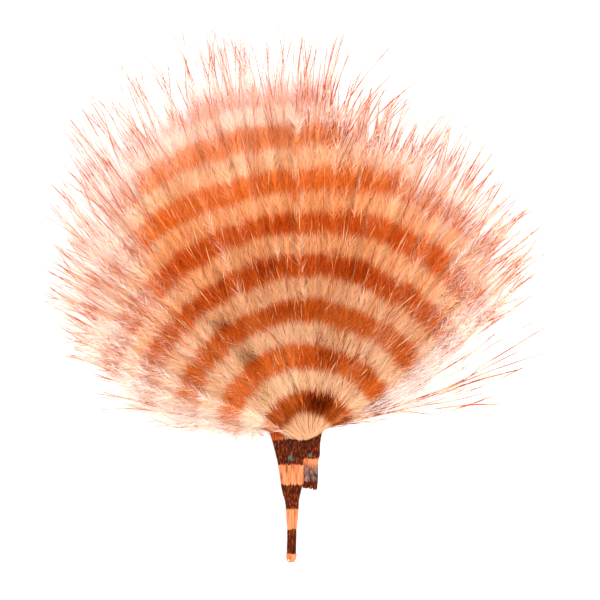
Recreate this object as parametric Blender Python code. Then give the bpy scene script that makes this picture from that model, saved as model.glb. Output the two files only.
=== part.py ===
"""A marabou feather, lying on its flat underside, with +Z up.

A marabou feather is one grown piece: a flat quill, narrow at its cut end, that
widens to a fork where the barbs leave it side by side, and downy locks of barbs
that spread from the fork in a fan. The fan has two vanes. The left one lies in
front and reaches further, and the right one starts behind it. The quill points
along -Y. The origin is at the middle of the footprint, on the surface that the
feather lies on.
"""

import math

import bmesh
import bpy
from mathutils import Vector

MM = 0.001
UP = Vector((0.0, 0.0, 1.0))

# Driving dimensions, in metres
LENGTH = 110.6 * MM
QUILL_TO_FORK = 27.5 * MM
FORK = Vector((0.0, QUILL_TO_FORK - LENGTH / 2, 0.0))

# The fan's rim: angle round the fork in degrees, from the right, and reach in metres
RIGHT_RIM = (
    (9, 40 * MM),
    (13, 54.5 * MM),
    (25, 57 * MM),
    (34, 63 * MM),
    (46, 68 * MM),
    (57, 69.5 * MM),
    (68, 73 * MM),
    (86, 72 * MM),
)
LEFT_RIM = (
    (86, 81 * MM),
    (97, 83.8 * MM),
    (106, 82 * MM),
    (119, 83.5 * MM),
    (129, 78.5 * MM),
    (140, 68.5 * MM),
    (154, 58.5 * MM),
    (161, 52 * MM),
    (169, 43 * MM),
)

# How much further round its barbs leave the fork than they end, in degrees, by tip angle:
# the lowest barbs on both sides swing anticlockwise, and the top left ones clockwise
SWING = ((10, -5), (25, -9), (45, -3), (90, 0), (125, 4), (141, 0), (154, -8), (169, 0))

# Layers of locks: rim, count, first and last tip angle, share of the rim's reach that the long
# and the short locks have, widest half width, height of the base and of the crest above it
LAYERS = (
    (RIGHT_RIM, 15, 20, 85, 1.0, 0.94, 4.7 * MM, 0.3 * MM, 2.5 * MM),
    (LEFT_RIM, 17, 166, 87, 1.0, 0.95, 4.9 * MM, 0.3 * MM, 2.8 * MM),
    (RIGHT_RIM, 9, 17, 81, 0.82, 0.73, 5.0 * MM, 1.2 * MM, 3.5 * MM),
    (LEFT_RIM, 11, 160, 88, 0.85, 0.76, 5.2 * MM, 1.5 * MM, 3.6 * MM),
    (RIGHT_RIM, 6, 28, 78, 0.6, 0.52, 5.0 * MM, 2.4 * MM, 4.8 * MM),
    (LEFT_RIM, 7, 148, 90, 0.63, 0.54, 5.2 * MM, 3.0 * MM, 5.6 * MM),
)
# A few long loose barbs under the right vane
LOOSE_LOCK = (13, 54.5 * MM, 2.4 * MM, 0.3 * MM, 1.6 * MM)

# Stations along a lock: how far along it is, and its share of the half width and of the crest
LOCK_STATIONS = (
    (0.0, 0.24, 0.5),
    (0.22, 0.55, 0.85),
    (0.5, 0.95, 1.0),
    (0.76, 0.8, 0.72),
    (0.91, 0.38, 0.4),
    (1.0, 0.05, 0.16),
)
# A lock's section, from side to side, as shares of its half width and crest
LOCK_SECTION = ((-1, 0.12), (-0.7, 0.66), (0, 1), (0.7, 0.66), (1, 0.12), (0, 0))
ROW_HALF_WIDTH = 4.4 * MM
START_BEHIND_FORK = 2.5 * MM
CONTROL_SHARE = 0.48
LOWEST_BASE = 0.3 * MM
DROP_SHARE = 0.45

# The flat underside, where the down is pressed against what it lies on
PAD_SHARE = 0.6
PAD_THICKNESS = 1.2 * MM
PAD_POINTS = 24
PAD_FOOT_SCALE = 0.92
PAD_MIDDLE = 24 * MM

# The quill from its cut end to past the fork: distance from the end, left and right edge,
# and thickness
QUILL_BASE = 0.3 * MM
QUILL = (
    (0.0 * MM, -2.4 * MM, -1.2 * MM, 0.9 * MM),
    (0.5 * MM, -2.9 * MM, -0.7 * MM, 1.5 * MM),
    (3.6 * MM, -2.9 * MM, -0.8 * MM, 1.6 * MM),
    (8.4 * MM, -3.0 * MM, -0.6 * MM, 1.6 * MM),
    (13.2 * MM, -4.0 * MM, -0.6 * MM, 1.7 * MM),
    (18.0 * MM, -4.6 * MM, 0.6 * MM, 1.9 * MM),
    (21.8 * MM, -5.0 * MM, 1.8 * MM, 2.1 * MM),
    (24.6 * MM, -5.3 * MM, 4.3 * MM, 2.4 * MM),
    (27.6 * MM, -5.7 * MM, 4.6 * MM, 2.8 * MM),
    (31.5 * MM, -6.0 * MM, 5.2 * MM, 2.8 * MM),
)
QUILL_SIDES = 12
# How low and how high an oval section may reach before it is cut flat, as shares of its radius
SECTION_FLOOR = -0.8
SECTION_TOP = 0.97

# A sliver of the quill that has split off beside it and ends in a torn edge
SLIVER_BASE = 0.5 * MM
TORN_EDGE_SLANT = 0.5 * MM
SLIVER = (
    (15.2 * MM, 0.9 * MM, 3.8 * MM, 0.7 * MM),
    (17.0 * MM, 0.9 * MM, 3.8 * MM, 0.9 * MM),
    (21.5 * MM, 0.7 * MM, 4.0 * MM, 1.1 * MM),
    (25.5 * MM, 0.4 * MM, 4.4 * MM, 1.3 * MM),
)

RUST_ORANGE_DOWN = (0.62, 0.16, 0.04, 1.0)
DOWN_ROUGHNESS = 0.85


def clear_scene():
    for obj in list(bpy.data.objects):
        bpy.data.objects.remove(obj)


def between(rows, at):
    """The second value of rows of (key, value), in rising key order, read at a key."""
    for (low, first), (high, last) in zip(rows, rows[1:]):
        if at <= high:
            share = max(0.0, (at - low) / (high - low))
            return first + (last - first) * share
    return rows[-1][1]


def polar(angle, reach):
    """A point of the fan, from its angle in degrees and its distance from the fork."""
    turn = math.radians(angle)
    return FORK + Vector((math.cos(turn), math.sin(turn), 0.0)) * reach


def solid_through(name, rings):
    """A closed mesh that passes through rings of points, with its two ends filled."""
    bm = bmesh.new()
    loops = []
    for ring in rings:
        verts = [bm.verts.new(point) for point in ring]
        loops.append([bm.edges.new(pair) for pair in zip(verts, verts[1:] + verts[:1])])
    for near, far in zip(loops, loops[1:]):
        bmesh.ops.bridge_loops(bm, edges=near + far)
    for end in (loops[0], loops[-1]):
        bmesh.ops.edgeloop_fill(bm, edges=end)
    bmesh.ops.recalc_face_normals(bm, faces=bm.faces)
    mesh = bpy.data.meshes.new(name)
    bm.to_mesh(mesh)
    bm.free()
    obj = bpy.data.objects.new(name, mesh)
    bpy.context.scene.collection.objects.link(obj)
    return obj


def lock(name, angle, reach, half_width, base, crest):
    """One tapered lock of barbs, on a bowed path from the fork's row of barbs to its tip."""
    start = FORK + Vector((ROW_HALF_WIDTH * (90 - angle) / 90, -START_BEHIND_FORK, 0.0))
    launch = angle + between(SWING, angle)
    control = start + (polar(launch, reach * CONTROL_SHARE) - FORK)
    tip = polar(angle, reach)
    rings = []
    for along, width_share, crest_share in LOCK_STATIONS:
        rest = 1 - along
        centre = start * rest * rest + control * (2 * along * rest) + tip * (along * along)
        ahead = (control - start) * rest + (tip - control) * along
        across = Vector((ahead.y, -ahead.x, 0.0)).normalized() * half_width * width_share
        lift = LOWEST_BASE + (base - LOWEST_BASE) * min(1.0, rest / DROP_SHARE)
        rings.append([
            centre + across * side + UP * (lift + crest * crest_share * height)
            for side, height in LOCK_SECTION
        ])
    return solid_through(name, rings)


def locks_of_layer(layer, rim, count, first, last, long, short, half_width, base, crest):
    """One layer of side by side locks, long and short in turn."""
    locks = []
    for i in range(count):
        angle = first + (last - first) * i / (count - 1)
        reach = between(rim, angle) * (long if i % 2 == 0 else short)
        locks.append(lock(f"lock_{layer}_{i}", angle, reach, half_width, base, crest))
    return locks


def pad():
    """The fan's flat underside, a little narrower at its foot than at its top."""
    rim = RIGHT_RIM + LEFT_RIM
    first, last = rim[0][0], rim[-1][0]
    angles = [first + (last - first) * i / (PAD_POINTS - 1) for i in range(PAD_POINTS)]
    outline = [polar(angle, between(rim, angle) * PAD_SHARE) for angle in angles]
    middle = FORK + Vector((0.0, PAD_MIDDLE, 0.0))
    foot = [middle + (point - middle) * PAD_FOOT_SCALE for point in outline]
    top = [point + UP * PAD_THICKNESS for point in outline]
    return solid_through("pad", [foot, top])


def strip_ring(distance, left, right, thickness, base, slant=0.0):
    """A section across the quill: an oval with a flattened underside."""
    y = distance - LENGTH / 2
    ring = []
    for i in range(QUILL_SIDES):
        turn = 2 * math.pi * (i + 0.5) / QUILL_SIDES
        across = math.cos(turn)
        height = (max(math.sin(turn), SECTION_FLOOR) - SECTION_FLOOR) / (SECTION_TOP - SECTION_FLOOR)
        x = (left + right) / 2 + (right - left) / 2 * across
        ring.append(Vector((x, y - slant * across, base + thickness * height)))
    return ring


def quill():
    return solid_through("quill", [strip_ring(*row, QUILL_BASE) for row in QUILL])


def sliver():
    torn = strip_ring(*SLIVER[0], SLIVER_BASE, TORN_EDGE_SLANT)
    return solid_through("sliver", [torn] + [strip_ring(*row, SLIVER_BASE) for row in SLIVER[1:]])


def down_material():
    """Soft down, dyed rust orange: matt, with no metal in it."""
    material = bpy.data.materials.new("rust_orange_down")
    material.use_nodes = True
    shader = material.node_tree.nodes["Principled BSDF"]
    shader.inputs["Base Color"].default_value = RUST_ORANGE_DOWN
    shader.inputs["Roughness"].default_value = DOWN_ROUGHNESS
    shader.inputs["Metallic"].default_value = 0.0
    return material


def fuse(name, base, others):
    """Joins the solids into one body with a Boolean union, and hides what went into it."""
    joined = bpy.data.collections.new("joined_to_" + name)
    bpy.context.scene.collection.children.link(joined)
    for obj in others:
        bpy.context.scene.collection.objects.unlink(obj)
        joined.objects.link(obj)
        obj.hide_render = True
        obj.display_type = "WIRE"
    union = base.modifiers.new("Union", "BOOLEAN")
    union.operation = "UNION"
    union.solver = "EXACT"
    union.operand_type = "COLLECTION"
    union.collection = joined
    base.name = name
    return base


def main():
    clear_scene()
    locks = [lock("loose_lock", *LOOSE_LOCK)]
    for layer, row in enumerate(LAYERS):
        locks += locks_of_layer(layer, *row)
    feather = fuse("feather", pad(), [quill(), sliver()] + locks)
    feather.data.materials.append(down_material())


main()
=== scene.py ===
"""The looks of a marabou feather: a grooved quill, bare-tipped barbs and the down on them.

Lengths in the tables are in millimetres, and angles are degrees round the fork, from the right.
"""

import math
from collections import namedtuple

import bmesh
import bpy
import numpy as np
from mathutils import Matrix, Vector


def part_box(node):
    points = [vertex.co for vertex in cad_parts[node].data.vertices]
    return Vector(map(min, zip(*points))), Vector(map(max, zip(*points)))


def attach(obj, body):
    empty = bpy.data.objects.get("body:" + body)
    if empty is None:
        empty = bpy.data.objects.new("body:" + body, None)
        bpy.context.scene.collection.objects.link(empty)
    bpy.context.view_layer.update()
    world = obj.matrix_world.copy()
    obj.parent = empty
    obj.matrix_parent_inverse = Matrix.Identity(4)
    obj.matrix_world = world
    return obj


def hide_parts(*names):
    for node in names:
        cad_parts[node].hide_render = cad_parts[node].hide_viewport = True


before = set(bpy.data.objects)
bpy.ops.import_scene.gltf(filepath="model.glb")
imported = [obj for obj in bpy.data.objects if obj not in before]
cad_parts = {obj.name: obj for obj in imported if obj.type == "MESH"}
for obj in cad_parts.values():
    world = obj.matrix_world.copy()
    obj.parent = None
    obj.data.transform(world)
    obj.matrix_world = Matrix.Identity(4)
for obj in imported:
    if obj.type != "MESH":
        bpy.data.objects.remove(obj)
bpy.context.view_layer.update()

MM = 0.001
LOW, HIGH = (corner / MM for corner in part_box("feather"))

# The photograph: 600 pixels a side, and 527 pixels from the quill's end to the fan's top
FRAME_PIXELS = 600
PIXEL_MM = 110 / 527
VIEW_CENTRE = (0.0, -3 * PIXEL_MM)
LENS_MM = 120
SENSOR_MM = 36

# The fork, where the barbs leave the quill, and the centre of the bars
QUILL_TO_FORK = 27.5
FORK = np.array((0.0, LOW.y + QUILL_TO_FORK))
BAR_CENTRE = FORK + np.array((1.8, -1.2))

# The bars: distance of the first one from their centre, their spacing and the dark share
FIRST_BAR = 7.5
BAR_PERIOD = 9.1
DARK_SHARE = 0.54
BAR_EDGE = 0.8

# The rim of each vane, as the angle and the reach of its longest barbs
RIGHT_RIM = (
    (22, 31), (30, 53), (36, 63.5), (40, 67.5), (46, 69), (53, 71), (62, 74.5), (70, 76.5),
    (78, 75), (88, 72),
)
RIGHT_EDGE = ((-8, 13), (2, 22), (9, 44), (13, 54.5), (25, 57), (38, 64))
LEFT_RIM = (
    (80, 83), (86, 87), (95, 89), (110, 88.5), (122, 86.5), (129, 82.5), (139, 73.5), (144, 68),
    (149, 63), (154, 60), (160, 54), (165, 49), (170, 44), (176, 37), (182, 25), (190, 13),
)
# Where the down starts to thin out and pale, and where little of it is left. Below nought it
# is thin from the fork.
DENSE_RIM = (
    (5, 3), (10, 4), (15, 6), (22, 12), (30, 18), (38, 26), (45, 33), (52, 44), (60, 44), (75, 51),
    (85, 56), (88, 62), (106, 63.5), (118, 57), (127, 45), (135, 32), (142, 26), (150, 22),
    (158, 20), (165, 13), (172, 4), (182, -6),
)
FAINT_RIM = (
    (5, 5), (10, 6), (15, 9), (22, 16), (30, 29), (38, 50), (45, 58), (60, 60), (75, 64), (84, 66),
    (88, 75.5), (106, 76.5), (120, 71), (128, 65), (135, 57), (150, 53), (158, 52), (165, 43),
    (172, 38), (182, 26),
)
# How much paler the down is at the sides of the fan: partly less dye, and partly painted light that
# lifts down lying in shade, on the right flank away from the softbox and near the fork on the left
# under the piled layers
SIDE_DYE_AND_LIFT = (
    (5, -0.3), (14, -0.2), (24, -0.1), (32, -0.04), (38, 0), (46, -0.07), (62, -0.06), (72, 0),
    (128, 0), (135, -0.05), (149, -0.07), (158, -0.1), (165, -0.19), (172, -0.24),
)
# How much further round its barbs leave the fork than they end
SWING = (
    (2, -3), (10, -5), (25, -9), (36, -6), (48, 0), (90, 0), (125, 4), (141, 0), (154, -6),
    (166, 0),
)
# How far the tips bend to the right. The left vane's last barbs fall across the right one.
RIGHT_BEND = ((2, 0), (30, 0.8), (57, 2.2), (80, 1.6))
LEFT_BEND = ((84, 3), (88, 1.5), (93, 0.2), (120, -1.2), (150, -1), (164, 0))
SEAM_BEND = ((78, 11), (84, 9), (88, 6), (93, 3))

# A vane: its rim, the bend of its tips and how much wider its outer bars are spread, from
# SPREAD_FROM on
Vane = namedtuple("Vane", "rim bend spread")
RIGHT = Vane(RIGHT_RIM, RIGHT_BEND, 0.07)
BELOW = Vane(RIGHT_EDGE, RIGHT_BEND, 0)
LEFT = Vane(LEFT_RIM, LEFT_BEND, 0)
SEAM = Vane(LEFT_RIM, SEAM_BEND, 0)
SPREAD_FROM = 30.0

# Hairs: their barb, the share of the way along it, their root, its heading and how faded they are
Hairs = namedtuple("Hairs", "barb place root ahead fade")
# A group of locks: its vane, the number of locks, their first and last angle, barbs in a lock,
# least and most share of the rim's reach, height at the fork, middle and tip, the row where they
# start, the length of a barb's bare tip, how thick the down is, and how far the bars stray from
# one lock to the next
Locks = namedtuple("Locks", "vane count angles barbs reach heights row bare fluff shift")
LOCKS = (
    # Single wisps and thin haze at the lower right, and haze under the left vane
    Locks(BELOW, 8, (9, 32), 2, (0.7, 1), (1.2, 1.6, 0.8), (6.6, 4.8), (12, 32), 0.6, 0.5),
    Locks(BELOW, 8, (9, 31), 2, (0.5, 0.9), (1, 1.2, 0.6), (6.4, 4.8), (2, 4), 1.9, 0.5),
    Locks(LEFT, 13, (188, 156), 4, (0.6, 0.9), (1.2, 1.6, 0.8), (-7, -5), (2, 4), 1.8, 0.3),
    Locks(LEFT, 10, (188, 154), 3, (0.7, 1), (1.2, 1.8, 0.8), (-7, -5), (3, 9), 0.9, 0.4),
    # The fringe of each vane, and wisps at the lower left
    Locks(RIGHT, 31, (32, 90), 4, (0.92, 1), (0.9, 1.4, 0.6), (6.2, 0), (6, 14), 0.9, 0.3),
    Locks(LEFT, 40, (162, 87), 3, (0.96, 1), (1, 1.8, 0.8), (-6.6, 0.8), (7, 17), 1.1, 0.3),
    Locks(LEFT, 10, (178, 146), 2, (0.97, 1.05), (1, 1.6, 0.9), (-7, -5), (13, 24), 0.3, 0.8),
    # The thick down of the body, layer over layer
    Locks(RIGHT, 26, (34, 88), 4, (0.76, 0.97), (1.3, 2.4, 0.9), (5.6, 0.8), (3, 8), 1, 0.2),
    Locks(LEFT, 34, (163, 88), 4, (0.78, 0.98), (1.4, 3.1, 1.1), (-5.3, 1.6), (3, 8), 1, 0.25),
    Locks(RIGHT, 26, (36, 86), 5, (0.62, 0.88), (1.8, 3.4, 1.2), (5, 1.5), (2, 6), 1, 0.2),
    Locks(LEFT, 32, (161, 88), 5, (0.62, 0.88), (2, 4.6, 1.6), (-4, 2.4), (2, 6), 1, 0.25),
    Locks(RIGHT, 20, (39, 84), 5, (0.35, 0.8), (2.2, 5, 3.2), (3.8, 1.8), (3, 7), 1, 0.2),
    Locks(LEFT, 27, (159, 88), 5, (0.38, 0.8), (2.4, 6.2, 3.2), (-0.5, 2.6), (3, 7), 1, 0.2),
    # The left vane's last barbs, which cross the seam
    Locks(SEAM, 12, (91, 80), 3, (0.84, 1), (2.4, 5.2, 3), (1, 2.4), (11, 20), 0.2, 0.6),
    # Loose bare ends that stand out of the down all over the fan
    Locks(RIGHT, 33, (38, 88), 4, (0.6, 0.94), (4, 3.4, 3), (3, 1.6), (6, 11), 0, 3),
    Locks(LEFT, 42, (150, 86), 4, (0.6, 0.94), (4, 4, 3.2), (0, 2.2), (6, 11), 0, 3),
    Locks(RIGHT, 26, (40, 86), 4, (0.25, 0.66), (4, 4.6, 6.4), (3, 1.6), (4, 9), 0, 3),
    Locks(LEFT, 34, (150, 86), 4, (0.25, 0.66), (4.2, 5.4, 7), (0, 2.2), (4, 9), 0, 3),
    Locks(RIGHT, 18, (40, 86), 4, (0.14, 0.34), (4.4, 5, 6), (3, 1.6), (3, 6), 0, 4),
    Locks(LEFT, 26, (150, 86), 4, (0.14, 0.34), (4.4, 5.4, 6.6), (0, 2.2), (3, 6), 0, 4),
)
# The row of the barbs' roots: its middle lies below the fork, its ends rise round the flare, and
# the roots are scattered about it
ROW_MIDDLE = (-0.6, -1.5)
ROW_RISE = 0.065
ROW_SCATTER = (0.25, 0.2)
# The rim is measured in steps to space its locks evenly, give or take a share of their spacing,
# and tips may lie this many degrees past a group's own angles
RIM_STEPS = 200
LOCK_JITTER = 0.4
ANGLE_PAST = 2
# How far apart a lock's tips lie, as a share of the spacing: at the rim and in the body of the
# fan, with the reaches between which the one turns into the other
GATHERED = 0.3
EVEN = 0.7
RIM_REACH = (0.88, 0.98)
# How far apart a lock's barbs leave the fork, as a share of the spacing and in degrees
LAUNCH_APART = 0.7
LAUNCH_SCATTER = 2.0
# The share of the barbs that stray from their lock, by how many degrees, and how far their tips
# bend
STRAY_SHARE = 0.4
STRAY_ANGLE = 6.0
STRAY_BEND = 2.2
# How seldom a barb falls short of its lock's reach, and how far a lock falls short of its own
SHORT_POWER = 1.4
LOCK_REACH = (0.95, 1)
# A barb's fine wave: its size, the share of the barb from which it is full, its turns from root to
# tip in radians, and the full turn in which it may start anywhere
WAVE = 0.3
WAVE_FROM = 0.25
WAVE_TURNS = (5, 11)
FULL_TURN = 6.3
# Where the tip's bend begins and the share of the barb that it takes, how strongly a lock follows
# its vane's bend, and how much locks and barbs bend by themselves
BEND_FROM = 0.66
BEND_SHARE = 0.34
BEND_FOLLOWED = (0.2, 1.7)
LOCK_BEND = 1.5
BARB_BEND = 2.0
# Where the arch of a barb ends, how blunt it is, and how much its height differs
ARCH_END = 0.9
ARCH_POWER = 0.8
HEIGHT_SCATTER = 0.4
# The dye of a plain barb, and how much the dye differs from lock to lock, barb to barb and
# hair to hair. How much a barb's bars stray from its lock's, besides a quarter of what locks do
PLAIN_DYE = 0.5
LOCK_DYE = 0.04
BARB_DYE = 0.03
HAIR_DYE = 0.09
BARB_SHIFT = 0.15
# No barb is bare from before this share of it
EARLIEST_BARE = 0.3
# How far past the CAD's box a barb or a hair may reach, as a share of the box
MOST_PAST = 0.024
PAST = (HIGH - LOW).xy * MOST_PAST
FARTHEST = np.array((LOW.xy - PAST, HIGH.xy + PAST))
# From how far out the bars stray fully from lock to lock, and how much more they do at the sides
STRAY_FROM = 20.0
SIDE_STRAY = ((30, 1.6), (45, 1), (130, 1), (150, 1.3))

# Stations along a barb, closer together towards its tip
STATIONS = 1 - (1 - np.linspace(0, 1, 16)) ** 1.5
BARB_SIDES = 3
# A barb's radius at its root, under its down and where it is bare, the share of that left at its
# tip, and how much stouter one barb is than another
ROOT_RADIUS = 0.075
COVERED_RADIUS = 0.035
BARE_RADIUS = 0.12
TIP_SHARE = 0.45
BOLDNESS = (0.55, 1.3)
# The barbs at the sides of the fan are finer and took less dye
SIDE_BOLD = ((15, 1.1), (45, 0.9), (60, 1), (120, 1), (138, 0.82), (165, 0.76))
SIDE_SHAFT_DYE = ((15, 0.06), (28, 0), (33, -0.06), (50, 0), (130, 0), (150, -0.05), (165, -0.12))
# How far along a barb the point lies that it heads for when it leaves the fork
CONTROL_SHARE = 0.48
# Where along a barb it thins from its root's radius to the covered one, how soon it is bare, and
# where it starts to taper to its tip
THINS_OVER = (0.2, 0.4)
BARE_OVER = 0.03
TAPER_FROM = 0.9
TAPER_SHARE = 0.1
# The lowest and highest that barbs and hairs may lie
HAIR_FLOOR = 0.06
HAIR_CEILING = HIGH.z + 0.1
BARB_HEIGHTS = (0.25, HAIR_CEILING - 0.3)

# The most hairs that are kept of those that are drawn at random, in this many pieces
DOWN_PIECES = 4
DOWN_HAIRS = 750000
DOWN_DRAWN = 3400000
# The shares of a barb between which its down grows, and how much more of it grows near the fork
ROOT_FROM = 0.06
ROOT_TO = 0.99
TOWARDS_FORK = 0.65
DOWN_LENGTH = (1.6, 4.2)
# Real side hairs are finer than a hundredth of a millimetre, too fine to show, so these are drawn
# as coarse as they need to be to show
DOWN_WIDTH = (0.05, 0.115)
# How far a hair leans from its barb and rolls round it, in degrees, and how much it is twisted
DOWN_LEAN = (8, 48)
DOWN_ROLL = 42
DOWN_TWIST = 0.3
# Near the fork the hairs lie closer to their barb and are shorter: up to which share of the barb,
# and the least share of the lean and of the length
LEAN_NEAR = (0.35, 0.3)
SHORT_NEAR = (0.25, 0.5)
# Past the faint rim: the share of the hairs left there, their length and how much paler they are
FAINT_SHARE = 0.105
FAINT_LENGTH = 0.6
FAINT_DYE = -0.4
# How quickly the down thins out between the rims, and how ragged its rims are
THINNING = 3.0
RAGGED = 0.12
# Slow waves in mm and how far they push the bars, how far a hair's own bars lie from its barb's,
# and how much of a hair's length counts in them
BAR_WAVES = (17, 21, 26, 33, 40)
BAR_WANDER = 0.4
HAIR_SHIFT = 0.3
HAIR_SPAN = 0.7
# Patches of a little more or less dye
DYE_WAVES = (7, 9, 11, 13, 17)
DYE_WANDER = 0.04
# How much of a soaked patch a hair took up
SOAK_TAKEN = (0.5, 1.3)

# Where the dye soaked in most: right of and above the fork, radius and strength. The light bars
# took little of it.
SOAKED_PATCHES = (
    (4.0, 6.8, 2.6, 0.6), (-7.6, 5.2, 2.2, 0.3), (-4, 7.3, 1.8, 0.25), (13, 11.6, 2.8, 0.12),
    (9.4, 13.9, 3, 0.15), (5.5, 15.5, 3.6, 0.3), (-2.5, 25.4, 4, 0.3), (13, 21.9, 3.2, 0.06),
    (-6, 34, 3.6, 0.3), (13, 32, 5, 0.18), (-3, 43.4, 4.5, 0.1), (-9.4, 15.7, 2.5, 0.25),
    (-6.3, 61.2, 6, 0.14),
)
SOAKED_LIGHT = 0.1
# Dark streaks left of the fork, in light bars too
STAINS = ((-9.9, 15.0, 1.8, 0.35), (-15.4, 21.5, 1.4, 0.5), (-7.0, 6.6, 1.5, 0.3))

# The dye comes in this many steps, each a column of the map that the export bakes, whose rows are
# distances from the bars' centre. A piece of a hair or barb covers part of its column.
DYES = 64
MOST_DYE = 0.999
HALF_COLUMN = 0.3 / DYES
PALETTE_LENGTH = 110

# The quill's main strip: distance from its cut end, left and right edge, and thickness
MAIN_STRIP = (
    (0.0, -2.38, -1.36, 0.5), (0.2, -2.62, -1.1, 0.8), (0.63, -2.82, -0.88, 1.0),
    (1.46, -2.86, -0.67, 1.15), (2.13, -2.73, -0.83, 1.1), (6.9, -2.65, -0.71, 1.1),
    (8.8, -2.8, -0.46, 1.15), (11.3, -2.92, -0.29, 1.2), (12.8, -3.11, -0.23, 1.2),
    (14.5, -3.63, 0.13, 1.25), (16.0, -3.94, 0.46, 1.3), (18.0, -4.2, 0.65, 1.35),
    (21.3, -4.72, 1.04, 1.45), (23.4, -5.26, 1.1, 1.5), (25.5, -5.8, 1.1, 1.55),
    (26.7, -6.2, 1.1, 1.5), (28.6, -7.0, 1.1, 1.1),
)
# The sliver beside it, from its torn end
SLIVER = (
    (15.5, 0.42, 3.5, 0.6), (15.8, 0.45, 3.6, 0.8), (17.1, 0.5, 3.74, 0.9), (19.2, 0.8, 3.76, 1.0),
    (21.3, 0.9, 3.78, 1.1), (22.3, 0.9, 4.15, 1.2), (24.9, 0.9, 4.2, 1.3), (26.7, 0.9, 4.5, 1.3),
    (28.6, 0.8, 5.4, 1.0),
)
# The height of their undersides, the distance between their rings, the points in a ring, and the
# flatness of their faces, where 1 is an oval and less is flatter
STRIP_BASE = 0.4
SLIVER_BASE = 0.5
STRIP_STEP = 0.3
STRIP_SIDES = 120
FLATNESS = 0.6
# The sliver's torn end: how ragged it is, over how much of its length, how slanted and in which
# waves. A wave is its size, and its radians a mm and at nought.
TORN = 0.55
TORN_OVER = 0.9
TORN_SLANT = 0.5
TORN_WAVES = ((0.35, 9, 1), (0.2, 23, 0))
# The grooves lengthwise on both faces, which wander and are unevenly wide
GROOVE_SPACING = 0.7
GROOVE_DEPTH = 0.12
GROOVE_WANDER = ((0.12, 0.9, 0), (0.07, 2.3, 1))
GROOVE_UNEVEN = ((1.5, 3, 0),)
# Where the quill turns from light to dark and back, from its cut end, first in its main strip
# and then in the sliver, whose torn part is sooty
STRIP_BANDS = (0, 1.83, 7.04, 11.2, 16.35, 20.4, 26.6, 33)
SLIVER_BANDS = (0, 1, 2, 13, 17, 21.7, 26.6, 33)
SLIVER_FROM = 0.75
SOOT_ENDS = (19.4, 20.8)
# Its uppermost band slants down to the left, from this far right of its middle, and more and more
# so over this stretch from its cut end
SLANT_FROM = 1.5
SLANT = 0.17
SLANT_OVER = (22, 26)
# Left of here the quill's flare is soaked to plain orange, more and more so over the edge's width
FLANK = -2.6
FLANK_EDGE = 1.2
# Grey flecks in the dark band: from the middle, from the cut end, and radius
FLECKS = ((-1.9, 21.8, 0.85), (2.1, 22.4, 0.6), (2.9, 20.2, 0.6))
# The pore in its cut end: from the middle, from the cut end, and radius. Its cutter is a cylinder
# with its middle at this height.
PORE = (-2.32, 0.46, 0.26)
PORE_HEIGHT = 1
PORE_DEPTH = 4

# The colours of the down and of the bare shafts in dark and light bars, by distance from the
# bars' centre as a share of the fan
FAN_LENGTH = 85.0
DOWN_DARK = (
    (0.0, "#B85012"), (0.09, "#BC5214"), (0.19, "#D05E1D"), (0.3, "#C25414"), (0.41, "#BC480A"),
    (0.52, "#CC500E"), (0.62, "#E26A20"), (0.73, "#F09058"), (0.84, "#F3B6A0"), (1.0, "#F4CCBE"),
)
DOWN_LIGHT = (
    (0.03, "#FBCFA4"), (0.14, "#E7B487"), (0.25, "#E2AB7F"), (0.36, "#DF9D6E"), (0.46, "#E69B64"),
    (0.57, "#F0A066"), (0.67, "#F6B886"), (0.78, "#F9D6BE"), (1.0, "#F6E2D8"),
)
SHAFT_DARK = ((0.0, "#B0500E"), (0.4, "#CC5A1A"), (0.7, "#CC5C26"), (1.0, "#D06438"))
SHAFT_LIGHT = (
    (0.0, "#F6C296"), (0.2, "#F0B07C"), (0.5, "#F6A870"), (0.75, "#F2A078"), (1.0, "#EEA48A"),
)
QUILL_LIGHT = ((0.33, "#8A4424"), (0.41, "#B9623A"), (0.5, "#CC784C"), (0.7, "#D68C62"))
QUILL_DARK = ((0.36, "#280A00"), (0.48, "#461200"), (0.58, "#642200"), (0.68, "#883E08"))
QUILL_SOOT = ((0.38, "#281410"), (0.5, "#56392F"), (0.66, "#8E6A5E"))
QUILL_FLECK = "#56605A"
# Down that took no dye
UNDYED = "#FAEEE6"
# What dye does to a colour: its depth for none and all of it, how dark it gets with all of it, and
# the dye below which white shows through and how much of it at most
DYE_DEPTH = (0.35, 1.65)
DYE_DARKEST = 0.2
UNDYED_BELOW = 0.35
UNDYED_MOST = 0.9

# The grain of keratin is finer than a tenth of a millimetre, too fine to show. Its streaks are
# drawn about 0.4 mm wide and 4 mm long, and the dye's blotches 0.4 by 0.9 mm, in repeats a metre.
QUILL_STREAKS = (2600, 260, 900)
QUILL_BLOTCHES = (2400, 1100, 1800)
RIDGE_HEIGHT = 0.1
# How far the streaks fray the ends of the bands, which also moves the pattern into place, and how
# soft those ends are, as shares of a band
BAND_FRAY = (-1.56, -1.44)
BAND_EDGE = (0.47, 0.53)
# How much deeper the soaked flank is, and where flecks show and how strongly
FLANK_DEPTH = 0.6
FLECK_EDGE = (0.2, 0.4)
FLECK_MOST = 0.8
# The inputs of a mix node that take its first and second colour, and the output with their mix
FIRST_COLOUR = 6
SECOND_COLOUR = 7
MIXED_COLOUR = 2

PAPER = "#F8F8F8"
# The light, with the softbox's size and place in metres and its power in watts
SKY_STRENGTH = 1.55
SOFTBOX_SIZE = 0.6
SOFTBOX_POWER = 3.2
SOFTBOX_PLACE = (0.14, 0.06, 0.8)

# Another seed gives another feather with the same outline and bars
SEED = 7


def linear(hex_colour):
    """An sRGB hex colour as linear red, green, blue and alpha."""
    parts = [int(hex_colour[i : i + 2], 16) / 255 for i in (1, 3, 5)]
    return [c / 12.92 if c <= 0.04045 else ((c + 0.055) / 1.055) ** 2.4 for c in parts] + [1.0]


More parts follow.
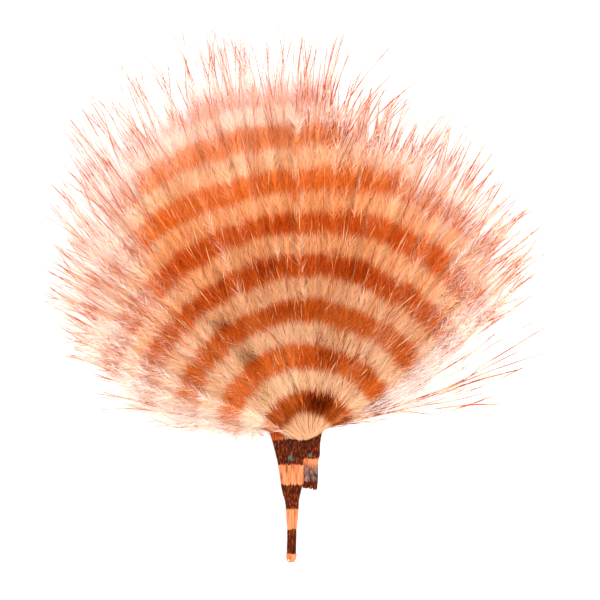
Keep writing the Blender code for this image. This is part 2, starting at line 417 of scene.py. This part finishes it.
def add_node(tree, kind, inputs=(), stops=(), **settings):
    """Adds a node with its settings and ramp stops. Sockets among the inputs are linked to it."""
    node = tree.nodes.new(kind)
    for name, value in settings.items():
        setattr(node, name, value)
    for key, value in dict(inputs).items():
        if isinstance(value, bpy.types.NodeSocket):
            tree.links.new(value, node.inputs[key])
        else:
            node.inputs[key].default_value = value
    for i, (place, colour) in enumerate(stops):
        stop = node.color_ramp.elements[i] if i < 2 else node.color_ramp.elements.new(place)
        stop.position = place
        stop.color = linear(colour)
    return node


def new_material(name):
    material = bpy.data.materials.new(name)
    material.use_nodes = True
    material.node_tree.nodes.clear()
    return material, material.node_tree


def bar_mask(tree, along):
    """1 in a dark bar and 0 in a light one, for a distance in mm from the centre of the bars."""
    inputs = {0: along, 1: FIRST_BAR}
    from_bar = add_node(tree, "ShaderNodeMath", inputs, operation="SUBTRACT").outputs[0]
    inputs = {0: from_bar, 1: BAR_PERIOD / 2}
    off_centre = add_node(tree, "ShaderNodeMath", inputs, operation="PINGPONG").outputs[0]
    half = BAR_PERIOD * DARK_SHARE / 2
    inputs = {"Value": off_centre, "From Min": half - BAR_EDGE, "From Max": half + BAR_EDGE}
    inputs |= {"To Min": 1.0, "To Max": 0.0}
    mask = add_node(tree, "ShaderNodeMapRange", inputs, interpolation_type="SMOOTHSTEP")
    return mask.outputs["Result"]


def with_dye(tree, colour, dye):
    """The colour for a plain dye, deeper and darker for more, and washed out to white for less."""
    inputs = {"Value": dye, "To Min": DYE_DEPTH[0], "To Max": DYE_DEPTH[1]}
    depth = add_node(tree, "ShaderNodeMapRange", inputs).outputs["Result"]
    deep = add_node(tree, "ShaderNodeGamma", {"Color": colour, "Gamma": depth}).outputs["Color"]
    inputs = {"Value": dye, "From Min": PLAIN_DYE, "To Min": 1.0, "To Max": DYE_DARKEST}
    dark = add_node(tree, "ShaderNodeMapRange", inputs).outputs["Result"]
    inputs = {"Color": deep, "Value": dark}
    shaded = add_node(tree, "ShaderNodeHueSaturation", inputs).outputs["Color"]
    inputs = {"Value": dye, "From Min": UNDYED_BELOW, "From Max": 0.0, "To Max": UNDYED_MOST}
    undyed = add_node(tree, "ShaderNodeMapRange", inputs).outputs["Result"]
    inputs = {"Factor": undyed, FIRST_COLOUR: shaded, SECOND_COLOUR: linear(UNDYED)}
    return add_node(tree, "ShaderNodeMix", inputs, data_type="RGBA").outputs[MIXED_COLOUR]


def dyed_material(name, dark_stops, light_stops):
    """Silky down or a bare shaft, dyed by hand: matt, barred, and deeper where dye soaked in."""
    material, tree = new_material(name)
    along = add_node(tree, "ShaderNodeAttribute", attribute_name="along").outputs["Fac"]
    dye = add_node(tree, "ShaderNodeAttribute", attribute_name="dye").outputs["Fac"]
    inputs = {"Value": along, "From Min": 0.0, "From Max": FAN_LENGTH}
    share = add_node(tree, "ShaderNodeMapRange", inputs).outputs["Result"]
    dark = add_node(tree, "ShaderNodeValToRGB", {"Fac": share}, dark_stops).outputs["Color"]
    light = add_node(tree, "ShaderNodeValToRGB", {"Fac": share}, light_stops).outputs["Color"]
    inputs = {"Factor": bar_mask(tree, along), FIRST_COLOUR: light, SECOND_COLOUR: dark}
    barred = add_node(tree, "ShaderNodeMix", inputs, data_type="RGBA").outputs[MIXED_COLOUR]
    colour = with_dye(tree, barred, dye)
    inputs = {"Base Color": colour, "Roughness": 0.75, "Specular IOR Level": 0.05}
    shader = add_node(tree, "ShaderNodeBsdfPrincipled", inputs)
    add_node(tree, "ShaderNodeOutputMaterial", {"Surface": shader.outputs[0]})
    return material


def streaky_noise(tree, place, scale, detail):
    """Noise stretched by a scale in repeats a metre along each axis."""
    stretched = add_node(tree, "ShaderNodeMapping", {"Vector": place, "Scale": scale})
    inputs = {"Vector": stretched.outputs[0], "Scale": 1.0, "Detail": detail}
    return add_node(tree, "ShaderNodeTexNoise", inputs).outputs["Fac"]


def band_mask(tree, streaks):
    """1 in the quill's dark bands, with edges that run along its streaks."""
    band = add_node(tree, "ShaderNodeAttribute", attribute_name="band").outputs["Fac"]
    inputs = {"Value": streaks, "From Min": 0.3, "From Max": 0.7}
    inputs |= {"To Min": BAND_FRAY[0], "To Max": BAND_FRAY[1]}
    shift = add_node(tree, "ShaderNodeMapRange", inputs).outputs["Result"]
    moved = add_node(tree, "ShaderNodeMath", {0: band, 1: shift}, operation="ADD").outputs[0]
    away = add_node(tree, "ShaderNodeMath", {0: moved, 1: 1.0}, operation="PINGPONG").outputs[0]
    inputs = {"Value": away, "From Min": BAND_EDGE[0], "From Max": BAND_EDGE[1]}
    inputs |= {"To Min": 1.0, "To Max": 0.0}
    return add_node(tree, "ShaderNodeMapRange", inputs).outputs["Result"]


def light_keratin(tree, streaks, blotches):
    """The light bands: orange, deeper on the soaked flank and sooty on the torn sliver."""
    light = add_node(tree, "ShaderNodeValToRGB", {"Fac": streaks}, QUILL_LIGHT).outputs["Color"]
    soak = add_node(tree, "ShaderNodeAttribute", attribute_name="soak").outputs["Fac"]
    inputs = {0: soak, 1: FLANK_DEPTH, 2: 1.0}
    depth = add_node(tree, "ShaderNodeMath", inputs, operation="MULTIPLY_ADD").outputs[0]
    deep = add_node(tree, "ShaderNodeGamma", {"Color": light, "Gamma": depth}).outputs["Color"]
    sooty = add_node(tree, "ShaderNodeValToRGB", {"Fac": blotches}, QUILL_SOOT).outputs["Color"]
    soot = add_node(tree, "ShaderNodeAttribute", attribute_name="soot").outputs["Fac"]
    inputs = {"Factor": soot, FIRST_COLOUR: deep, SECOND_COLOUR: sooty}
    return add_node(tree, "ShaderNodeMix", inputs, data_type="RGBA").outputs[MIXED_COLOUR]


def dark_keratin(tree, blotches):
    """The dark bands: nearly black, with grey flecks that the blotches break up."""
    dark = add_node(tree, "ShaderNodeValToRGB", {"Fac": blotches}, QUILL_DARK).outputs["Color"]
    fleck = add_node(tree, "ShaderNodeAttribute", attribute_name="fleck").outputs["Fac"]
    inputs = {0: fleck, 1: blotches}
    mottled = add_node(tree, "ShaderNodeMath", inputs, operation="MULTIPLY").outputs[0]
    inputs = {"Value": mottled, "From Min": FLECK_EDGE[0], "From Max": FLECK_EDGE[1]}
    inputs |= {"To Max": FLECK_MOST}
    grey = add_node(tree, "ShaderNodeMapRange", inputs).outputs["Result"]
    inputs = {"Factor": grey, FIRST_COLOUR: dark, SECOND_COLOUR: linear(QUILL_FLECK)}
    return add_node(tree, "ShaderNodeMix", inputs, data_type="RGBA").outputs[MIXED_COLOUR]


def quill_material():
    """Dyed keratin: satin, grooved lengthwise and streaked with dye, nearly black in its bands."""
    material, tree = new_material("dyed_quill_keratin")
    place = add_node(tree, "ShaderNodeTexCoord").outputs["Object"]
    streaks = streaky_noise(tree, place, QUILL_STREAKS, detail=3.0)
    blotches = streaky_noise(tree, place, QUILL_BLOTCHES, detail=4.0)
    light = light_keratin(tree, streaks, blotches)
    dark = dark_keratin(tree, blotches)
    inputs = {"Factor": band_mask(tree, streaks), FIRST_COLOUR: light, SECOND_COLOUR: dark}
    colour = add_node(tree, "ShaderNodeMix", inputs, data_type="RGBA").outputs[MIXED_COLOUR]
    inputs = {"Height": streaks, "Strength": 0.5, "Distance": RIDGE_HEIGHT * MM}
    ridges = add_node(tree, "ShaderNodeBump", inputs).outputs["Normal"]
    inputs = {"Base Color": colour, "Roughness": 0.45, "Specular IOR Level": 0.06, "Normal": ridges}
    shader = add_node(tree, "ShaderNodeBsdfPrincipled", inputs)
    add_node(tree, "ShaderNodeOutputMaterial", {"Surface": shader.outputs[0]})
    return material


def read_table(table, at):
    keys, values = zip(*table)
    return np.interp(at, keys, values)


def unit(vectors):
    return vectors / np.maximum(np.linalg.norm(vectors, axis=-1, keepdims=True), 1e-9)


def fan_out(rng, locks):
    """The lock, launch angle, end angle and stray of each barb, in locks all along the rim."""
    steps = np.linspace(*locks.angles, RIM_STEPS)
    arc = np.cumsum(read_table(locks.vane.rim, steps))
    of_lock = np.interp(np.linspace(arc[0], arc[-1], locks.count), arc, steps)
    spacing = np.gradient(of_lock)
    of_lock = of_lock + rng.uniform(-LOCK_JITTER, LOCK_JITTER, locks.count) * spacing
    lock = np.repeat(np.arange(locks.count), locks.barbs)
    spacing = spacing[lock]
    count = len(lock)
    stray = (rng.uniform(0, 1, count) < STRAY_SHARE) * rng.normal(0, 1, count)
    gathered = np.interp(locks.reach[1], RIM_REACH, (EVEN, GATHERED))
    end = of_lock[lock] + rng.normal(0, gathered, count) * spacing + stray * STRAY_ANGLE
    end = np.clip(end, min(locks.angles) - ANGLE_PAST, max(locks.angles) + ANGLE_PAST)
    launch = of_lock[lock] + rng.uniform(-LAUNCH_APART, LAUNCH_APART, count) * spacing
    launch = launch + rng.normal(0, LAUNCH_SCATTER, count)
    return lock, launch + read_table(SWING, end), end, stray


def roots(rng, locks, angle):
    """Where the barbs leave the quill: on a row that curves up round its flare."""
    first, last = locks.angles
    place = np.clip((angle - first) / (last - first), 0, 1)
    x = locks.row[0] + (locks.row[1] - locks.row[0]) * place
    x = x + rng.normal(0, ROW_SCATTER[0], len(angle))
    y = ROW_MIDDLE[1] + ROW_RISE * (x - ROW_MIDDLE[0]) ** 2
    y = y + rng.normal(0, ROW_SCATTER[1], len(angle))
    return FORK + np.stack([x, y], 1)


def heading(degrees):
    return np.stack([np.cos(np.radians(degrees)), np.sin(np.radians(degrees))], 1)


def bowed(rng, locks, launch, end, reach):
    """Flat paths of barbs from root to tip, and the way to the right of them at each station."""
    start = roots(rng, locks, end)
    control = start + heading(launch) * (reach * CONTROL_SHARE)[:, None]
    tip = FORK + heading(end) * reach[:, None]
    rest, along = (1 - STATIONS)[None, :, None], STATIONS[None, :, None]
    flat = start[:, None] * rest**2 + 2 * control[:, None] * along * rest + tip[:, None] * along**2
    ahead = unit(np.gradient(flat, STATIONS, axis=1))
    return flat, np.stack([ahead[..., 1], -ahead[..., 0]], -1)


def sideways(rng, locks, lock, end, reach, stray):
    """How far each station of a barb lies off its bow: in a fine wave, and in a bend of its tip."""
    count = len(lock)
    size = rng.normal(0, WAVE, (count, 1))
    turns = STATIONS * rng.uniform(*WAVE_TURNS, (count, 1)) + rng.uniform(0, FULL_TURN, (count, 1))
    late = np.clip((STATIONS - BEND_FROM) / BEND_SHARE, 0, 1) ** 2
    bend = read_table(locks.vane.bend, end) * rng.uniform(*BEND_FOLLOWED, locks.count)[lock]
    bend = bend + rng.normal(0, LOCK_BEND, locks.count)[lock] + rng.normal(0, BARB_BEND, count)
    bend = bend + rng.normal(0, STRAY_BEND, count) * np.abs(stray)
    bend = bend * reach / FAN_LENGTH
    wave = size * np.sin(turns) * np.minimum(1, STATIONS / WAVE_FROM)
    return wave + bend[:, None] * late


def heights_of(rng, locks, count):
    """The height of each barb at its stations, in an arch from the fork to its tip."""
    at_fork, at_middle, at_tip = locks.heights
    rise = np.sin(np.pi * np.clip(STATIONS / ARCH_END, 0, 1)) ** ARCH_POWER
    height = (at_fork * (1 - STATIONS) + at_tip * STATIONS) * (1 - rise) + at_middle * rise
    height = height + rng.normal(0, HEIGHT_SCATTER, (count, 1)) * rise
    height = height + rng.normal(0, HEIGHT_SCATTER, (count, 1)) * STATIONS
    return np.clip(height, *BARB_HEIGHTS)


def grow(rng, locks):
    """The barbs of a group of locks: their paths, and the dye, the bars and the down of each."""
    lock, launch, end, stray = fan_out(rng, locks)
    count = len(lock)
    least, most = locks.reach
    share = most - (most - least) * rng.uniform(0, 1, count) ** SHORT_POWER
    of_lock = rng.uniform(*LOCK_REACH, locks.count)[lock]
    reach = read_table(locks.vane.rim, end) * share * of_lock
    flat, right = bowed(rng, locks, launch, end, reach)
    flat = flat + right * sideways(rng, locks, lock, end, reach, stray)[..., None]
    height = heights_of(rng, locks, count)
    lock_dye = rng.normal(0, LOCK_DYE, locks.count)
    shift = rng.normal(0, locks.shift, locks.count)[lock] * read_table(SIDE_STRAY, end)
    barbs = {
        "path": np.concatenate([flat, height[..., None]], -1),
        "dye": PLAIN_DYE + lock_dye[lock] + rng.normal(0, BARB_DYE, count),
        "shift": shift + rng.normal(0, BARB_SHIFT + locks.shift / 4, count),
        "spread": np.full(count, float(locks.vane.spread)),
        "fluff": np.full(count, float(locks.fluff)),
        "bold": rng.uniform(*BOLDNESS, count) * read_table(SIDE_BOLD, end),
        "bare_from": np.maximum(1 - rng.uniform(*locks.bare, count) / reach, EARLIEST_BARE),
    }
    inside = ((flat > FARTHEST[0]) & (flat < FARTHEST[1])).all((1, 2))
    return {key: values[inside] for key, values in barbs.items()}


def grow_barbs(rng):
    grown = [grow(rng, locks) for locks in LOCKS]
    return {key: np.concatenate([part[key] for part in grown]) for key in grown[0]}


def from_bar_centre(points):
    """Distance from the bars' centre, kept out of the dark that the pattern would have there."""
    away = np.linalg.norm(points[..., :2] - BAR_CENTRE, axis=-1)
    return np.maximum(away, FIRST_BAR - BAR_PERIOD / 2)


def bar_place(from_centre, spread, shift):
    """Where in the pattern of bars a distance from their centre falls, for each barb's own bars."""
    closer = spread * np.maximum(from_centre - SPREAD_FROM, 0)
    return from_centre - closer + shift * np.clip(from_centre / STRAY_FROM, 0, 1) ** 2


def in_dark_bar(along):
    """1 in a dark bar and 0 in a light one, for distances from the bars' centre."""
    off_centre = np.abs((along - FIRST_BAR + BAR_PERIOD / 2) % BAR_PERIOD - BAR_PERIOD / 2)
    return np.clip((BAR_PERIOD * DARK_SHARE / 2 + BAR_EDGE - off_centre) / (2 * BAR_EDGE), 0, 1)


def patches(points, rng, waves):
    """Smooth patches from -1 to 1 over the fan, for wavelengths in mm."""
    total = np.zeros(points.shape[:-1])
    for wave in waves:
        turn = rng.uniform(0, 2 * np.pi)
        across = points[..., 0] * np.cos(turn) + points[..., 1] * np.sin(turn)
        total += np.sin(2 * np.pi * across / wave + rng.uniform(0, 2 * np.pi))
    return np.clip(total / math.sqrt(len(waves)), -1, 1)


def spots(points, table):
    """The strength at each point of the round spots in a table."""
    total = np.zeros(points.shape[:-1])
    for x, y, radius, strength in table:
        away = np.linalg.norm(points[..., :2] - FORK - (x, y), axis=-1)
        total += strength * np.exp(-((away / radius) ** 2))
    return total


def soaked(points, along):
    """How much more dye the soaked patches and the stains hold at each point."""
    in_bars = SOAKED_LIGHT + (1 - SOAKED_LIGHT) * in_dark_bar(along)
    return spots(points, SOAKED_PATCHES) * in_bars + spots(points, STAINS)


def mesh_from_arrays(name, material, points, faces, along, dye, half_column):
    """A piece from arrays of points in mm and of triangles, with its dye attributes and its map."""
    mesh = bpy.data.meshes.new(name)
    mesh.vertices.add(len(points))
    mesh.vertices.foreach_set("co", (points * MM).astype(np.float32).ravel())
    mesh.loops.add(faces.size)
    mesh.loops.foreach_set("vertex_index", faces.astype(np.int32).ravel())
    mesh.polygons.add(len(faces))
    starts = np.arange(0, faces.size, faces.shape[1], dtype=np.int32)
    mesh.polygons.foreach_set("loop_start", starts)
    for key, values in (("along", along), ("dye", dye)):
        layer = mesh.attributes.new(key, "FLOAT", "POINT")
        layer.data.foreach_set("value", values.astype(np.float32))
    corners = faces.ravel()
    places = np.stack([dye[corners] + half_column[corners], along[corners] / PALETTE_LENGTH], 1)
    mesh.uv_layers.new(name="OFBake").uv.foreach_set("vector", places.astype(np.float32).ravel())
    mesh.update()
    mesh.validate()
    mesh.materials.append(material)
    obj = bpy.data.objects.new(name, mesh)
    bpy.context.scene.collection.objects.link(obj)
    return obj


def round_fork(points):
    """The angle of points round the fork, and their distance from it."""
    x, y = (points[:, :2] - FORK).T
    return np.degrees(np.arctan2(y, x)) % 360, np.hypot(x, y)


def stepped(dye):
    """Dye in steps, so that the palette needs only a few columns."""
    return (np.floor(np.clip(dye, 0, MOST_DYE) * DYES) + 0.5) / DYES


def tube_faces(count, stations):
    """The triangles of closed tubes, for points in the order of tube, station and side."""
    index = np.arange(count * stations * BARB_SIDES).reshape(count, stations, BARB_SIDES)
    near, far = index[:, :-1], index[:, 1:]
    after = np.roll(np.arange(BARB_SIDES), -1)
    walls = np.stack([near, near[..., after], far[..., after], far], -1).reshape(-1, 4)
    caps = [index[:, 0, ::-1], index[:, -1]]
    return np.concatenate([walls[:, (0, 1, 2)], walls[:, (0, 2, 3)], *caps])


def build_barbs(barbs, material):
    """Three-sided tapering tubes along the barbs' paths."""
    paths = barbs["path"]
    count, stations = paths.shape[:2]
    ahead = unit(np.gradient(paths, STATIONS, axis=1))
    side = unit(np.cross(ahead, (0, 0, 1)))
    up = np.cross(side, ahead)
    bare = np.clip((STATIONS - barbs["bare_from"][:, None]) / BARE_OVER, 0, 1)
    covered = np.interp(STATIONS, THINS_OVER, (ROOT_RADIUS, COVERED_RADIUS))
    radius = covered + (BARE_RADIUS * barbs["bold"][:, None] - covered) * bare
    radius = radius * (1 - (1 - TIP_SHARE) * np.clip((STATIONS - TAPER_FROM) / TAPER_SHARE, 0, 1))
    turns = np.pi / 2 + 2 * np.pi * np.arange(BARB_SIDES) / BARB_SIDES
    ring = np.cos(turns)[:, None] * side[:, :, None] + np.sin(turns)[:, None] * up[:, :, None]
    points = paths[:, :, None] + ring * radius[..., None, None]
    along = bar_place(from_bar_centre(paths), barbs["spread"][:, None], barbs["shift"][:, None])
    ends = round_fork(paths[:, -1])[0]
    dye = (barbs["dye"] + read_table(SIDE_SHAFT_DYE, ends))[:, None] + soaked(paths, along)
    return mesh_from_arrays(
        "barbs",
        material,
        points.reshape(-1, 3),
        tube_faces(count, stations),
        np.repeat(along, BARB_SIDES, axis=1).ravel(),
        np.repeat(stepped(dye), BARB_SIDES, axis=1).ravel(),
        np.tile(np.array((-1, 0, 1)) * HALF_COLUMN, count * stations),
    )


def hairs_of(barbs, rng):
    """The hairs: on which barb and where on it each grows, and how faded it is, from 0 to 1."""
    paths = barbs["path"]
    count, stations = paths.shape[:2]
    lengths = np.linalg.norm(np.diff(paths, axis=1), axis=-1).sum(1) * barbs["fluff"]
    barb = rng.choice(count, DOWN_DRAWN, p=lengths / lengths.sum())
    far = rng.uniform(0, ROOT_TO, DOWN_DRAWN) ** TOWARDS_FORK
    place = ROOT_FROM + (1 - ROOT_FROM) * far
    cell = np.clip(np.searchsorted(STATIONS, place) - 1, 0, stations - 2)
    part = ((place - STATIONS[cell]) / (STATIONS[cell + 1] - STATIONS[cell]))[:, None]
    root = paths[barb, cell] * (1 - part) + paths[barb, cell + 1] * part
    turn, out = round_fork(root)
    dense, faint = read_table(DENSE_RIM, turn), read_table(FAINT_RIM, turn)
    ragged = rng.normal(0, RAGGED, count)[barb] + rng.normal(0, RAGGED / 2, DOWN_DRAWN)
    bare_from = barbs["bare_from"][barb]
    bare = np.clip((place - bare_from) / (1 - bare_from), 0, 1)
    fade = np.clip((out - dense) / (faint - dense) + ragged, 0, 1)
    thick = np.where(bare > 0, 0, (1 - fade) ** THINNING)
    share = FAINT_SHARE * (1 - bare**2) + (1 - FAINT_SHARE) * thick
    kept = np.flatnonzero(rng.uniform(0, 1, DOWN_DRAWN) < share)[:DOWN_HAIRS]
    ahead = unit(paths[barb[kept], cell[kept] + 1] - paths[barb[kept], cell[kept]])
    return Hairs(barb[kept], place[kept], root[kept], ahead, fade[kept])


def hair_slivers(hairs, rng):
    """The corners of each hair, two at its root and one at its tip, and where that tip points."""
    count = len(hairs.barb)
    side = unit(np.cross(hairs.ahead, (0, 0, 1)))
    up = np.cross(side, hairs.ahead)
    close = np.interp(hairs.place, (ROOT_FROM, LEAN_NEAR[0]), (LEAN_NEAR[1], 1))
    lean = (np.radians(rng.uniform(*DOWN_LEAN, count)) * close)[:, None]
    roll = np.radians(rng.normal(0, DOWN_ROLL, count))[:, None]
    hand = rng.choice((-1, 1), count)[:, None]
    sideways_on = np.cos(roll) * side * hand + np.sin(roll) * up
    way = np.cos(lean) * hairs.ahead + np.sin(lean) * sideways_on
    short = np.interp(hairs.place, (ROOT_FROM, SHORT_NEAR[0]), (SHORT_NEAR[1], 1))
    length = rng.uniform(*DOWN_LENGTH, count) * short
    length *= 1 - (1 - FAINT_LENGTH) * hairs.fade
    tip = hairs.root + way * length[:, None]
    facing = unit(np.array((0, 0, 1)) + rng.normal(0, DOWN_TWIST, (count, 3)))
    across = unit(np.cross(tip - hairs.root, facing))
    width = rng.uniform(*DOWN_WIDTH, count)[:, None] / 2
    points = np.stack([hairs.root - across * width, hairs.root + across * width, tip], 1)
    points[..., :2] = np.clip(points[..., :2], *FARTHEST)
    points[..., 2] = np.clip(points[..., 2], HAIR_FLOOR, HAIR_CEILING)
    return points, tip


def hair_dyes(barbs, hairs, tip, rng):
    """Where in the bars the corners of each hair lie, and its dye, which at the sides also holds
    painted light that lifts down lying in shade.
    """
    barb, root = hairs.barb, hairs.root
    count = len(barb)
    wander = BAR_WANDER * patches(root, rng, BAR_WAVES)
    from_centre = from_bar_centre(root)
    start = bar_place(from_centre, barbs["spread"][barb], barbs["shift"][barb])
    start = start + wander + rng.normal(0, HAIR_SHIFT, count)
    finish = start + HAIR_SPAN * (from_bar_centre(tip) - from_centre)
    dye = barbs["dye"][barb] + rng.normal(0, HAIR_DYE, count) + hairs.fade * FAINT_DYE
    # Paler at the sides: less dye there, and painted light that lifts down lying in shade
    dye += read_table(SIDE_DYE_AND_LIFT, round_fork(root)[0])
    soak = np.minimum(soaked(root, start), soaked(root, finish))
    dye += soak * rng.uniform(*SOAK_TAKEN, count)
    dye += DYE_WANDER * patches(root, rng, DYE_WAVES)
    return np.stack([start, start, finish], 1), dye


def build_down(barbs, material, rng):
    """The hairs of the down, each a sliver that tapers from the barb that it grows on."""
    hairs = hairs_of(barbs, rng)
    points, tip = hair_slivers(hairs, rng)
    along, dye = hair_dyes(barbs, hairs, tip, rng)
    shares = np.array_split(rng.permutation(len(dye)), DOWN_PIECES)
    return [
        mesh_from_arrays(
            f"down_{number}",
            material,
            points[own].reshape(-1, 3),
            np.arange(len(own) * 3).reshape(-1, 3),
            along[own].ravel(),
            np.repeat(stepped(dye[own]), 3),
            np.tile(np.array((-1, 1, 0)) * HALF_COLUMN, len(own)),
        )
        for number, own in enumerate(shares, 1)
    ]


def waves_at(x, waves):
    """The sum of waves at x, each with its size, its radians a mm and its radians at nought."""
    return sum(size * np.sin(rate * x + start) for size, rate, start in waves)


def strip_rings(rows, base, torn=0.0):
    """Oval rings across a strip of the quill, grooved lengthwise on both faces."""
    keys, lefts, rights, thicknesses = (np.array(column) for column in zip(*rows))
    between = np.arange(keys[0] + STRIP_STEP, keys[-1], STRIP_STEP)
    turns = 2 * np.pi * (np.arange(STRIP_SIDES) + 0.5) / STRIP_SIDES
    across, up = np.cos(turns), np.sin(turns)
    flat_up = np.sign(up) * np.abs(up) ** FLATNESS
    rings = []
    for distance in np.unique(np.concatenate([keys, between])):
        left, right, thick = (np.interp(distance, keys, v) for v in (lefts, rights, thicknesses))
        x = (left + right) / 2 + (right - left) / 2 * across
        phase = 2 * np.pi * (x + waves_at(distance, GROOVE_WANDER)) / GROOVE_SPACING
        ridge = np.sin(phase + waves_at(x, GROOVE_UNEVEN))
        groove = GROOVE_DEPTH * (0.5 + 0.5 * ridge) * np.abs(up)
        z = base + thick / 2 + (thick / 2 - groove) * flat_up
        ragged = torn * (TORN_SLANT * across + waves_at(x, TORN_WAVES))
        ragged = ragged * np.clip(1 - (distance - keys[0]) / TORN_OVER, 0, 1)
        rings.append(np.stack([x, LOW.y + distance - ragged, z], 1))
    return rings


def loft(bm, rings):
    """A closed tube through rings of points in mm."""
    loops = []
    for ring in rings:
        verts = [bm.verts.new(Vector(point) * MM) for point in ring]
        loops.append([bm.edges.new(pair) for pair in zip(verts, verts[1:] + verts[:1])])
    for near, far in zip(loops, loops[1:]):
        bmesh.ops.bridge_loops(bm, edges=near + far)
    for end in (loops[0], loops[-1]):
        bmesh.ops.edgeloop_fill(bm, edges=end)
    bmesh.ops.recalc_face_normals(bm, faces=bm.faces)


def object_from(name, bm):
    mesh = bpy.data.meshes.new(name)
    bm.to_mesh(mesh)
    bm.free()
    obj = bpy.data.objects.new(name, mesh)
    bpy.context.scene.collection.objects.link(obj)
    return obj


def quill_pattern(points):
    """For the quill's points in mm: the band, how soaked they are, how sooty and how flecked."""
    x, distance = points[:, 0], points[:, 1] - LOW.y
    near_fork = np.interp(distance, SLANT_OVER, (0, 1))
    straight = distance + SLANT * np.maximum(SLANT_FROM - x, 0) * near_fork
    bands = np.arange(len(STRIP_BANDS))
    strip, sliver = (np.interp(straight, ends, bands) for ends in (STRIP_BANDS, SLIVER_BANDS))
    on_sliver = (x > SLIVER_FROM) & (distance > SLIVER[0][0] - 1)
    soak = np.clip((FLANK - x) / FLANK_EDGE, 0, 1) * (straight > STRIP_BANDS[-2] - 1)
    soot = on_sliver * np.interp(distance, SOOT_ENDS, (1, 0))
    fleck = np.zeros(len(points))
    for across, along, radius in FLECKS:
        away = np.hypot(x - across, distance - along)
        fleck = np.maximum(fleck, np.exp(-((away / radius) ** 2)))
    band = np.where(on_sliver, sliver, strip)
    return {"band": band, "soak": soak, "soot": soot, "fleck": fleck}


def cut_pore(quill):
    """Cuts the pore through the quill's cut end."""
    x, distance, radius = PORE
    bm = bmesh.new()
    bmesh.ops.create_cone(
        bm,
        cap_ends=True,
        segments=14,
        radius1=radius * MM,
        radius2=radius * MM,
        depth=PORE_DEPTH * MM,
        matrix=Matrix.Translation(Vector((x, LOW.y + distance, PORE_HEIGHT)) * MM),
    )
    cutter = object_from("pore_cutter", bm)
    cut = quill.modifiers.new("Pore", "BOOLEAN")
    cut.operation = "DIFFERENCE"
    cut.object = cutter
    bpy.context.view_layer.update()
    graph = bpy.context.evaluated_depsgraph_get()
    quill.data = bpy.data.meshes.new_from_object(quill.evaluated_get(graph))
    quill.modifiers.clear()
    bpy.data.objects.remove(cutter)


def build_quill(material):
    """The quill: a main strip and a torn sliver, side by side, with a pore in its cut end."""
    bm = bmesh.new()
    loft(bm, strip_rings(MAIN_STRIP, STRIP_BASE))
    loft(bm, strip_rings(SLIVER, SLIVER_BASE, torn=TORN))
    quill = object_from("quill", bm)
    cut_pore(quill)
    mesh = quill.data
    points = np.empty(len(mesh.vertices) * 3, np.float32)
    mesh.vertices.foreach_get("co", points)
    for key, values in quill_pattern(points.reshape(-1, 3) / MM).items():
        layer = mesh.attributes.new(key, "FLOAT", "POINT")
        layer.data.foreach_set("value", values.astype(np.float32))
    mesh.shade_smooth()
    mesh.set_sharp_from_angle(angle=math.radians(50))
    mesh.materials.clear()
    mesh.materials.append(material)
    return quill


def build_floor():
    """Matt white paper: plain, bright and without a gleam."""
    material, tree = new_material("matt_white_paper")
    inputs = {"Base Color": linear(PAPER), "Roughness": 0.9, "Specular IOR Level": 0.1}
    shader = add_node(tree, "ShaderNodeBsdfPrincipled", inputs)
    add_node(tree, "ShaderNodeOutputMaterial", {"Surface": shader.outputs[0]})
    bm = bmesh.new()
    bmesh.ops.create_grid(bm, x_segments=1, y_segments=1, size=1.5)
    floor = object_from("floor", bm)
    floor.data.materials.append(material)


def build_camera():
    """Looks straight down on the feather, with the photograph's frame."""
    camera = bpy.data.objects.new("camera", bpy.data.cameras.new("camera"))
    bpy.context.scene.collection.objects.link(camera)
    camera.data.lens = LENS_MM
    camera.data.sensor_width = SENSOR_MM
    camera.data.clip_end = 10
    distance = FRAME_PIXELS * PIXEL_MM * LENS_MM / SENSOR_MM
    camera.location = (VIEW_CENTRE[0] * MM, VIEW_CENTRE[1] * MM, distance * MM)
    bpy.context.scene.camera = camera


def build_light():
    """A bright white sky, and a softbox overhead, a little to the right."""
    scene = bpy.context.scene
    world = bpy.data.worlds.new("studio")
    scene.world = world
    world.use_nodes = True
    background = world.node_tree.nodes["Background"]
    background.inputs["Color"].default_value = (1, 1, 1, 1)
    background.inputs["Strength"].default_value = SKY_STRENGTH
    soft = bpy.data.lights.new("softbox", "AREA")
    soft.shape = "DISK"
    soft.size = SOFTBOX_SIZE
    soft.energy = SOFTBOX_POWER
    lamp = bpy.data.objects.new("softbox", soft)
    scene.collection.objects.link(lamp)
    lamp.location = SOFTBOX_PLACE
    lamp.rotation_euler = (-lamp.location).to_track_quat("-Z", "Y").to_euler()
    scene.view_settings.view_transform = "Standard"


def main():
    rng = np.random.default_rng(SEED)
    shafts = dyed_material("dyed_barb_shafts", SHAFT_DARK, SHAFT_LIGHT)
    down = dyed_material("dyed_marabou_down", DOWN_DARK, DOWN_LIGHT)
    barbs = grow_barbs(rng)
    quill = build_quill(quill_material())
    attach(quill, "root")
    fluff = [build_barbs(barbs, shafts)] + build_down(barbs, down, rng)
    for piece in fluff:
        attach(piece, "root")
    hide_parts("feather")
    build_floor()
    build_camera()
    build_light()


main()
